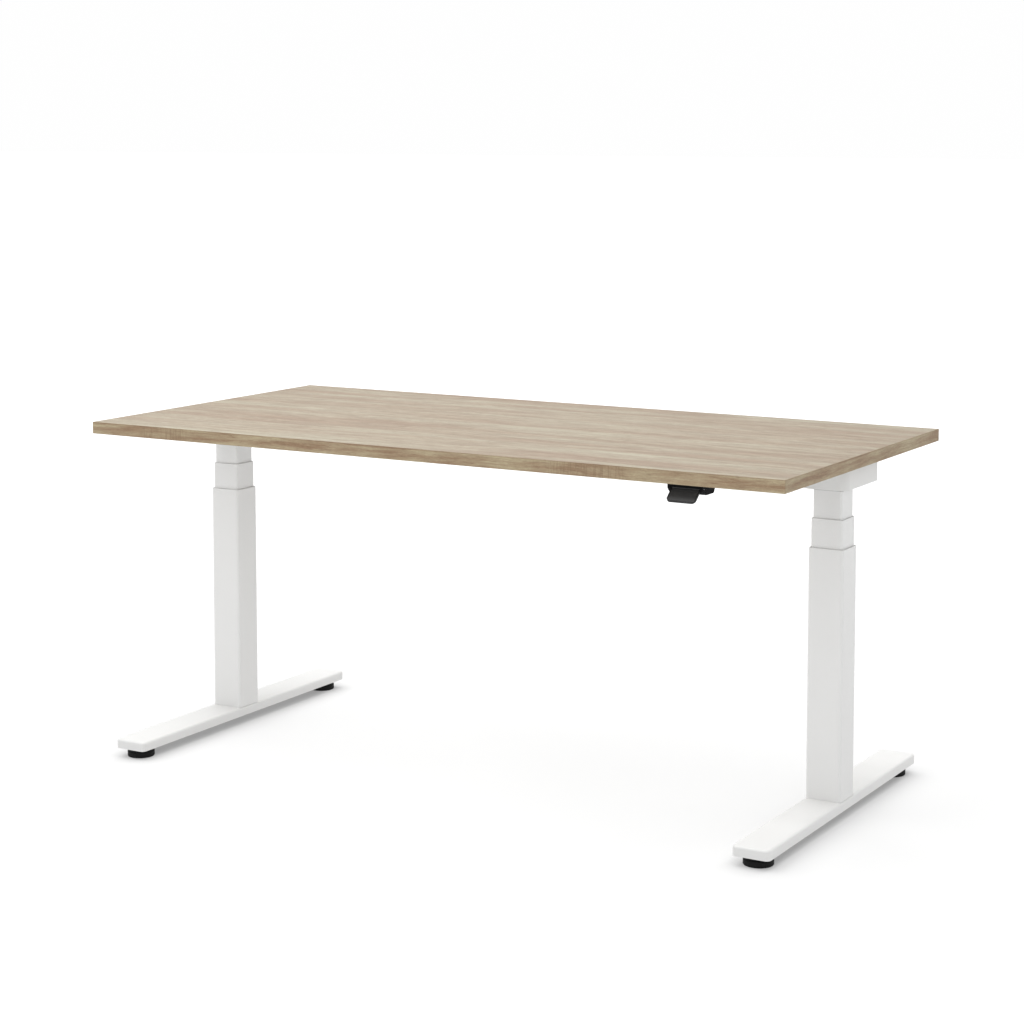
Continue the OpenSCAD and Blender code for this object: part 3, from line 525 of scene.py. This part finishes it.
def add_piece(name, vertices, faces, slot, body, replaced=()):
    """A smooth-shaded mesh object with the slot's material that rides on a body."""
    mesh = bpy.data.meshes.new(name)
    mesh.from_pydata([tuple(v) for v in vertices], [], faces)
    mesh.validate()
    bm = bmesh.new()
    bm.from_mesh(mesh)
    bmesh.ops.recalc_face_normals(bm, faces=bm.faces)
    bm.to_mesh(mesh)
    bm.free()
    mesh.polygons.foreach_set("use_smooth", [True] * len(mesh.polygons))
    mesh.set_sharp_from_angle(angle=math.radians(SHARP_ANGLE))
    mesh.materials.append(MATERIALS[slot])
    piece = bpy.data.objects.new(name, mesh)
    SCENE.collection.objects.link(piece)
    normals = piece.modifiers.new("normals", "WEIGHTED_NORMAL")
    normals.keep_sharp = True
    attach(piece, body)
    if replaced:
        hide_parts(*replaced)
    return piece


def turned(rings, sides, places):
    """Vertices and faces of a closed turned shape, once in each place.

    A ring is (height, radius), where the radius may be a function of angle and height."""
    vertices, faces = [], []
    for place in places:
        base = len(vertices)
        for height, radius in rings:
            for k in range(sides):
                angle = TAU * k / sides
                r = radius(angle, height) if callable(radius) else radius
                vertices.append(place @ Vector((r * math.cos(angle), r * math.sin(angle), height)))
        loops = [list(range(base + i * sides, base + (i + 1) * sides)) for i in range(len(rings))]
        faces += bands(loops)
        for loop, ring in ((loops[0], rings[0]), (loops[-1], rings[-1])):
            centre = len(vertices)
            vertices.append(place @ Vector((0, 0, ring[0])))
            faces += [[centre, loop[(k + 1) % sides], loop[k]] for k in range(sides)]
    return vertices, faces


def hexagon(corner):
    """Radius of a hexagon with its corners at that distance."""
    flat = corner * math.cos(math.pi / 6)
    return lambda angle, height: flat / math.cos(angle % (math.pi / 3) - math.pi / 6)


def cross(low, high):
    """Radius of a cross recess, from low between its arms to high at their ends."""
    return lambda angle, height: low + (high - low) * abs(math.cos(2 * angle)) ** 7


def screw_rings(head_r, head_t, shank_r, length, recess, depth):
    """Rings of a pan-head screw: head face at height 0, shank tip at length, recess that deep."""
    edge = 0.12 * head_t + 0.2 * MM
    lip = 0.1 * MM
    return [
        (depth, 0.2 * MM), (depth, recess), (0.2 * MM, recess), (0.0, head_r - 2.2 * edge),
        (0.35 * edge, head_r - edge), (edge, head_r - 0.3 * edge), (1.6 * edge, head_r),
        (head_t - lip, head_r), (head_t, head_r - lip), (head_t, shank_r),
        (length - 0.5 * shank_r, shank_r), (length, 0.6 * shank_r)]


def threaded(radius, depth, pitch):
    """Radius of a thread's helix, from its crest down by depth."""
    def at(angle, height):
        phase = (height / pitch - angle / TAU) % 1.0
        return radius - depth * abs(2 * phase - 1)
    return at


def upright(lo, hi):
    """A frame on the middle of a box's lower face, with its axis up."""
    return Matrix.Translation(((lo.x + hi.x) / 2, (lo.y + hi.y) / 2, lo.z))


def block(lo, hi, bevel):
    """Vertices and faces of a box with rounded edges."""
    bm = bmesh.new()
    bmesh.ops.create_cube(bm, size=1)
    lo, hi = Vector(lo), Vector(hi)
    for vertex in bm.verts:
        vertex.co = Vector([(lo[i] + hi[i]) / 2 + vertex.co[i] * (hi[i] - lo[i]) for i in range(3)])
    bmesh.ops.bevel(bm, geom=bm.edges[:], offset=bevel, segments=2, profile=0.5, affect="EDGES")
    vertices = [vertex.co.copy() for vertex in bm.verts]
    faces = [[vertex.index for vertex in face.verts] for face in bm.faces]
    bm.free()
    return vertices, faces


def bands(loops):
    """Faces between each loop of vertex numbers and the next one."""
    faces = []
    for near, far in zip(loops, loops[1:]):
        count = len(near)
        faces += [[near[k], near[(k + 1) % count], far[(k + 1) % count], far[k]] for k in range(count)]
    return faces


def joined(*parts):
    """Several (vertices, faces) as one."""
    vertices, faces = [], []
    for part_vertices, part_faces in parts:
        base = len(vertices)
        vertices += part_vertices
        faces += [[base + index for index in face] for face in part_faces]
    return vertices, faces


def mirrored(part):
    """The same shape on the other side of the desk."""
    vertices, faces = part
    return [Vector((-v[0], v[1], v[2])) for v in vertices], [list(reversed(face)) for face in faces]


def extruded(outline, start, end, place):
    """A flat outline pushed from one height to another, with a narrow band of faces at each end."""
    band = 0.5 * MM
    levels = (start, start + band, end - band, end)
    vertices = [place @ Vector((x, y, height)) for height in levels for x, y in outline]
    count = len(outline)
    loops = [list(range(level * count, (level + 1) * count)) for level in range(len(levels))]
    return vertices, bands(loops) + [loops[0][::-1], loops[-1]]


def spline(points, parts):
    """Points along a smooth curve through the given ones."""
    result = []
    for i in range(len(points) - 1):
        a, b = points[max(i - 1, 0)], points[i]
        c, d = points[i + 1], points[min(i + 2, len(points) - 1)]
        for k in range(parts):
            t = k / parts
            result.append(0.5 * (2 * b + (c - a) * t + (2 * a - 5 * b + 4 * c - d) * t * t
                                 + (3 * b - a - 3 * c + d) * t * t * t))
    return result + [points[-1]]


def swept(points, radius, sides):
    """A round tube along points, closed at both ends."""
    vertices = []
    across = None
    for i, point in enumerate(points):
        ahead = (points[min(i + 1, len(points) - 1)] - points[max(i - 1, 0)]).normalized()
        if across is None:
            across = ahead.cross(Vector((0, 0, 1))).normalized()
        across = (across - ahead * across.dot(ahead)).normalized()
        up = across.cross(ahead)
        for k in range(sides):
            angle = TAU * k / sides
            vertices.append(point + radius * (math.cos(angle) * across + math.sin(angle) * up))
    loops = [list(range(i * sides, (i + 1) * sides)) for i in range(len(points))]
    return vertices, bands(loops) + [loops[0], loops[-1][::-1]]


# ---------- feet ----------

FOOT_CORNER_R = 10 * MM
FOOT_EDGE_R = 5 * MM
FOOT_WALL = 3 * MM
FOOT_LIP = 0.5 * MM
FOOT_HOLE_R = 4.2 * MM
CORNER_STEPS = 14
ROLL_STEPS = 8
HOLE_SIDES = 32


def rounded_outline(half_x, half_y, radius):
    """Points round a rectangle with round corners, the same number for every size."""
    points = []
    for quarter, (sx, sy) in enumerate(((1, 1), (-1, 1), (-1, -1), (1, -1))):
        for k in range(CORNER_STEPS + 1):
            angle = math.pi / 2 * (quarter + k / CORNER_STEPS)
            points.append((sx * (half_x - radius) + radius * math.cos(angle),
                           sy * (half_y - radius) + radius * math.sin(angle)))
    return points


def foot_rings(low, high):
    """(Inset, height) of a foot's outlines: over the rolled edge, down outside and up inside."""
    rings = []
    for k in range(ROLL_STEPS + 1):
        angle = math.pi / 2 * (1 - k / ROLL_STEPS)
        rings.append((FOOT_EDGE_R * (1 - math.cos(angle)), high - FOOT_EDGE_R * (1 - math.sin(angle))))
    lip = 0.3 * FOOT_LIP
    rings += [(0.0, low + FOOT_LIP), (lip, low + lip), (FOOT_LIP, low)]
    rings += [(FOOT_WALL - FOOT_LIP, low), (FOOT_WALL - lip, low + lip), (FOOT_WALL, low + FOOT_LIP)]
    rings += [(FOOT_WALL, high - FOOT_WALL - 2 * FOOT_LIP), (FOOT_WALL + 2 * FOOT_LIP, high - FOOT_WALL)]
    return rings


def filled(vertices, loops):
    """Triangles that fill the first loop of vertex numbers and leave the others open."""
    numbers = [index for loop in loops for index in loop]
    triangles = tessellate_polygon([[vertices[index] for index in loop] for loop in loops])
    return [[numbers[corner] for corner in triangle] for triangle in triangles]


def make_foot(side):
    """Pressed channel with its rolled top edge carried smoothly round the corners, and four screw holes."""
    lo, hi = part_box(f"{side}_foot")
    centre, half = (lo + hi) / 2, (hi - lo) / 2
    vertices = []

    def loop(points, z):
        start = len(vertices)
        vertices.extend(Vector((x, y, z)) for x, y in points)
        return list(range(start, len(vertices)))

    shell = []
    for inset, z in foot_rings(lo.z, hi.z):
        outline = rounded_outline(half.x - inset, half.y - inset, FOOT_CORNER_R - inset)
        shell.append(loop([(centre.x + x, centre.y + y) for x, y in outline], z))
    faces = bands(shell)
    top, bottom = [shell[0]], [shell[-1]]
    for screw_lo, screw_hi in islands("foot_screws"):
        if not lo.x < screw_lo.x < hi.x:
            continue
        middle = (screw_lo + screw_hi) / 2
        circle = [(middle.x + FOOT_HOLE_R * math.cos(TAU * k / HOLE_SIDES),
                   middle.y + FOOT_HOLE_R * math.sin(TAU * k / HOLE_SIDES)) for k in range(HOLE_SIDES)]
        top.append(loop(circle, hi.z))
        bottom.append(loop(circle, hi.z - FOOT_WALL))
        faces += bands([top[-1], bottom[-1]])
    faces += filled(vertices, top) + filled(vertices, bottom)
    return add_piece(f"{side}_foot_shell", vertices, faces, "white_coat", "base", [f"{side}_foot"])


# ---------- screws ----------

# Frame screws that are taller than this stand upright.
UPRIGHT_SCREW_LENGTH = 20 * MM


def board_screw(lo, hi):
    """Pan-head screw into the board, with a cross recess."""
    rings = screw_rings(head_r=(hi.x - lo.x) / 2, head_t=2.5 * MM, shank_r=2.1 * MM, length=hi.z - lo.z,
                        recess=cross(0.5 * MM, 2.2 * MM), depth=1.5 * MM)
    return turned(rings, 40, [upright(lo, hi)])


def frame_screw(lo, hi):
    """Socket screw: an upright one holds a housing on its bracket, a lying one a rail on a housing."""
    if hi.z - lo.z > UPRIGHT_SCREW_LENGTH:
        rings = screw_rings(head_r=4.4 * MM, head_t=3.4 * MM, shank_r=2.5 * MM, length=hi.z - lo.z,
                            recess=hexagon(2.3 * MM), depth=2.0 * MM)
        return turned(rings, 36, [upright(lo, hi)])
    middle = (lo + hi) / 2
    head_x, inward = (hi.x, -1) if middle.x > 0 else (lo.x, 1)
    place = Matrix.Translation((head_x, middle.y, middle.z)) @ Matrix.Rotation(inward * math.pi / 2, 4, "Y")
    rings = screw_rings(head_r=5 * MM, head_t=3 * MM, shank_r=2.9 * MM, length=hi.x - lo.x,
                        recess=hexagon(2.6 * MM), depth=1.8 * MM)
    return turned(rings, 36, [place])


def foot_screw(lo, hi):
    """Socket screw with a deep head that holds a column on its foot."""
    rings = screw_rings(head_r=(hi.x - lo.x) / 2, head_t=8 * MM, shank_r=3.95 * MM, length=hi.z - lo.z,
                        recess=hexagon(3.4 * MM), depth=4.0 * MM)
    return turned(rings, 48, [upright(lo, hi)])


def make_screws():
    """Heads with their recesses in place of the plain CAD screws."""
    kinds = (("board_screw", board_screw, "top"), ("frame_screw", frame_screw, "top"),
             ("foot_screw", foot_screw, "base"))
    for kind, shape, body in kinds:
        parts = [shape(lo, hi) for lo, hi in islands(f"{kind}s")]
        add_piece(f"{kind}_heads", *joined(*parts), "zinc_steel", body, [f"{kind}s"])


# ---------- glides ----------

FLUTES = 48
FLUTE_DEPTH = 0.30 * MM
PAD_SIDES = 288
STUD_SIDES = 48
STUD_R = 5 * MM
STUD_PITCH = 1.5 * MM
STUD_NUT_T = 4 * MM


def glide_pad(side, end):
    """Round pad with a fluted rim, a foot ring below and a recess for the stud's collar."""
    glide = f"{side}_{end}"
    lo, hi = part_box(f"{glide}_pad")
    radius = (hi.x - lo.x) / 2
    top = hi.z - lo.z

    def flutes(angle, height):
        return radius - FLUTE_DEPTH * (0.5 - 0.5 * math.cos(FLUTES * angle))

    rings = [
        (0.7 * MM, 0.2 * MM), (0.7 * MM, radius - 8 * MM), (0.1 * MM, radius - 7.4 * MM),
        (0.0, radius - 7 * MM), (0.0, radius - 1.6 * MM), (0.25 * MM, radius - 0.9 * MM),
        (0.9 * MM, radius - 0.25 * MM), (1.6 * MM, radius - 0.02 * MM), (2.4 * MM, radius),
        (2.7 * MM, radius - 0.35 * MM), (3.0 * MM, flutes), (top - 3.0 * MM, flutes),
        (top - 2.7 * MM, radius - 0.35 * MM), (top - 2.4 * MM, radius), (top - 1.3 * MM, radius - 0.1 * MM),
        (top - 0.5 * MM, radius - 0.7 * MM), (top - 0.1 * MM, radius - 1.7 * MM), (top, radius - 2.6 * MM),
        (top, 14 * MM), (top - 1.2 * MM, 13 * MM), (top - 1.2 * MM, 9.4 * MM), (top - 0.1 * MM, 9 * MM),
        (top, 8.6 * MM), (top, 5.8 * MM), (top - 0.4 * MM, 5.3 * MM), (4.1 * MM, 5.2 * MM),
        (4.1 * MM, 0.2 * MM)]
    shape = turned(rings, PAD_SIDES, [upright(lo, hi)])
    add_piece(f"{glide}_glide_pad", *shape, "pad_plastic", f"{glide}_foot_pad", [f"{glide}_pad"])


def glide_stud(side, end):
    """Stud with a chamfered hexagon and a rolled M10 thread."""
    glide = f"{side}_{end}"
    lo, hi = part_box(f"{glide}_stud")
    corner = (hi.x - lo.x) / 2
    pad_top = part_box(f"{glide}_pad")[1].z
    nut_low = pad_top - lo.z + 0.6 * MM
    nut_high = nut_low + STUD_NUT_T
    rings = [(0.0, 4.2 * MM), (0.6 * MM, 4.9 * MM), (nut_low, 4.9 * MM), (nut_low, corner * 0.9),
             (nut_low + 0.5 * MM, hexagon(corner)), (nut_high - 0.5 * MM, hexagon(corner)),
             (nut_high, corner * 0.86), (nut_high, 4.5 * MM)]
    start, stop = nut_high + 0.3 * MM, hi.z - lo.z - 1.2 * MM
    steps = int((stop - start) / (STUD_PITCH / 6))
    thread = threaded(STUD_R - 0.02 * MM, 0.75 * MM, STUD_PITCH)
    rings += [(start + (stop - start) * i / steps, thread) for i in range(steps + 1)]
    rings.append((hi.z - lo.z, 3.6 * MM))
    shape = turned(rings, STUD_SIDES, [upright(lo, hi)])
    add_piece(f"{glide}_threaded_stud", *shape, "zinc_steel", f"{glide}_glide", [f"{glide}_stud"])


# ---------- leads, clips and grommets ----------

BOARD_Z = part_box("tabletop")[0].z
COLUMN_X = (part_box("right_outer_tube")[0].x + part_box("right_outer_tube")[1].x) / 2
HANDSET_X = (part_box("handset_body")[0].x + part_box("handset_body")[1].x) / 2
BOX_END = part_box("control_box")[1].x
MOTOR_LEAD_R = 3 * MM
HANDSET_LEAD_R = 2.2 * MM
ROUTE_STEPS = 8
PLUG_Z = BOARD_Z - 19 * MM
MOTOR_PLUG_Y = 190 * MM
HANDSET_PLUG_Y = 150 * MM


def route(points):
    """Points in millimetres, with heights from the board's underside, as a smooth line in metres."""
    return spline([Vector((x, y, BOARD_Z / MM + z)) * MM for x, y, z in points], ROUTE_STEPS)


def plug_part(y):
    """Moulded plug in its socket at the right-hand end of the control box, with a ribbed boot."""
    start, end = BOX_END - 11.5 * MM, BOX_END + 5 * MM
    body = block((start, y - 7 * MM, PLUG_Z - 5 * MM), (end, y + 7 * MM, PLUG_Z + 5 * MM), 0.9 * MM)
    latch = block((BOX_END - 2 * MM, y - 2.5 * MM, PLUG_Z + 4.4 * MM),
                  (end - 1.2 * MM, y + 2.5 * MM, PLUG_Z + 5.9 * MM), 0.5 * MM)
    boot = [(0.0, 4.4), (3.0, 4.2), (3.2, 3.7), (4.2, 3.7), (4.4, 4.1), (6.4, 4.0), (6.6, 3.5), (7.6, 3.5),
            (7.8, 3.9), (9.6, 3.6), (10.0, 3.3)]
    rings = [(height * MM, radius * MM) for height, radius in boot]
    place = Matrix.Translation((end - 0.5 * MM, y, PLUG_Z)) @ Matrix.Rotation(math.pi / 2, 4, "Y")
    return joined(body, latch, turned(rings, 28, [place]))


def make_leads():
    """Both motor leads, the handset's lead and the grommets where the motor leads come out."""
    end = COLUMN_X / MM
    motor_line = route([
        (end - 14, 134, -15), (end - 14, 142, -14.5), (end - 16, 152, -12), (end - 25, 166, -9),
        (end - 43, 178, -7.5), (end - 69, 186, -5.5), (600, 189, -4), (500, 190, -4), (400, 190, -4),
        (300, 190, -4), (220, 190, -4), (190, 190, -5), (168, 190, -10), (152, 190, -16.5),
        (142, 190, -19), (134, 190, -19)])
    motor_lead = joined(swept(motor_line, MOTOR_LEAD_R, 20), plug_part(MOTOR_PLUG_Y))
    add_piece("right_motor_lead", *motor_lead, "lead_sheath", "top", ["motor_leads"])
    add_piece("left_motor_lead", *mirrored(motor_lead), "lead_sheath", "top", ["motor_leads"])
    start = HANDSET_X / MM
    handset_line = route([
        (start, -342, -8), (start, -330, -8), (start, -318, -8), (start, -304, -6),
        (start - 1, -288, -3.5), (start - 3, -200, -3.5), (start - 6, -110, -3.5),
        (start - 18, -62, -3.5), (start - 50, -36, -3.5), (start - 100, -30, -3.5), (380, -30, -3.5),
        (260, -30, -3.5), (212, -24, -3.5), (186, -2, -3.5), (178, 36, -3.5), (177, 80, -3.5),
        (175, 118, -4), (168, 138, -8), (156, 148, -16), (144, 150, -19), (134, 150, -19)])
    handset_lead = joined(swept(handset_line, HANDSET_LEAD_R, 16), plug_part(HANDSET_PLUG_Y))
    add_piece("handset_cable", *handset_lead, "lead_sheath", "top", ["handset_lead"])
    grommet = [(0.0, 3.15), (0.2, 5.6), (0.8, 6.0), (1.6, 5.7), (2.0, 4.6), (2.0, 3.15)]
    rings = [(height * MM, radius * MM) for height, radius in grommet]
    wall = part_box("right_motor_housing")[1].y
    spot = Matrix.Translation((COLUMN_X - 14 * MM, wall, BOARD_Z - 14.7 * MM))
    part = turned(rings, 32, [spot @ Matrix.Rotation(-math.pi / 2, 4, "X")])
    add_piece("right_grommet", *part, "clip_plastic", "top")
    add_piece("left_grommet", *mirrored(part), "clip_plastic", "top")


# Radii of the clip's arch in millimetres, and the nails' places from the middle of its top.
CLIP_OUTER = 4.6
CLIP_INNER = 3.5
CLIP_STEPS = 12
NAIL_X = 6.9 * MM
NAIL_Z = -2.3 * MM


def clip_outline(reach, depth):
    """Section of a saddle clip in metres, from its half-width and its depth in millimetres."""
    lift = CLIP_OUTER - depth
    steps = [math.pi * k / CLIP_STEPS for k in range(CLIP_STEPS + 1)]
    outline = [(-reach, 0), (-reach, -1.6), (-6.0, -1.9), (-4.9, -2.6)]
    outline += [(-math.cos(a) * CLIP_OUTER, -math.sin(a) * CLIP_OUTER + lift) for a in steps]
    outline += [(4.9, -2.6), (6.0, -1.9), (reach, -1.6), (reach, 0), (CLIP_INNER, 0)]
    outline += [(math.cos(a) * CLIP_INNER, -math.sin(a) * CLIP_INNER + lift) for a in steps]
    outline.append((-CLIP_INNER, 0))
    return [(x * MM, y * MM) for x, y in outline]


def make_clips():
    """Saddle clips with an arch over the lead and two nailed feet."""
    nail = [(0.0, 0.4 * MM), (0.1 * MM, 0.8 * MM), (0.5 * MM, 1.0 * MM), (0.9 * MM, 1.0 * MM)]
    clips, nails = [], []
    for lo, hi in islands("cable_clips"):
        narrow, wide = sorted((hi.x - lo.x, hi.y - lo.y))
        outline = clip_outline(wide / 2 / MM, (hi.z - lo.z) / MM)
        place = Matrix.Translation(((lo.x + hi.x) / 2, (lo.y + hi.y) / 2, hi.z))
        if hi.x - lo.x < hi.y - lo.y:
            place = place @ Matrix.Rotation(math.pi / 2, 4, "Z")
        clips.append(extruded(outline, -narrow / 2, narrow / 2, place @ Matrix.Rotation(math.pi / 2, 4, "X")))
        nails += [turned(nail, 16, [place @ Matrix.Translation((x, 0, NAIL_Z))]) for x in (-NAIL_X, NAIL_X)]
    add_piece("saddle_clips", *joined(*clips), "clip_plastic", "top", ["cable_clips"])
    add_piece("clip_nails", *joined(*nails), "zinc_steel", "top")


# ---------- control box ----------

RIBS = 13
RIB_PITCH = 9 * MM
RIB_HALF = 1.6 * MM
RIB_END = 26 * MM
BOX_SCREW_IN = 12 * MM


def make_control_box_details():
    """Cooling ribs and corner screws on the underside of the control box."""
    lo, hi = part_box("control_box")
    ribs = []
    for i in range(RIBS):
        x = (lo.x + hi.x) / 2 + (i - RIBS // 2) * RIB_PITCH
        ribs.append(block((x - RIB_HALF, lo.y + RIB_END, lo.z - 1.1 * MM),
                          (x + RIB_HALF, hi.y - RIB_END, lo.z + 0.4 * MM), 0.5 * MM))
    add_piece("box_ribs", *joined(*ribs), "box_plastic", "top")
    rings = screw_rings(3.6 * MM, 1.6 * MM, 1.5 * MM, 3 * MM, cross(0.4 * MM, 1.9 * MM), 1.0 * MM)
    corners = [Matrix.Translation((x, y, lo.z - 1.0 * MM)) for x in (lo.x + BOX_SCREW_IN, hi.x - BOX_SCREW_IN)
               for y in (lo.y + BOX_SCREW_IN, hi.y - BOX_SCREW_IN)]
    add_piece("box_screws", *turned(rings, 32, corners), "zinc_steel", "top")


make_camera()
dress_cad_nodes()
make_studio(make_floor(), [make_foot(side) for side in SIDES])
make_screws()
for side in SIDES:
    for end in ENDS:
        glide_pad(side, end)
        glide_stud(side, end)
make_leads()
make_clips()
make_control_box_details()
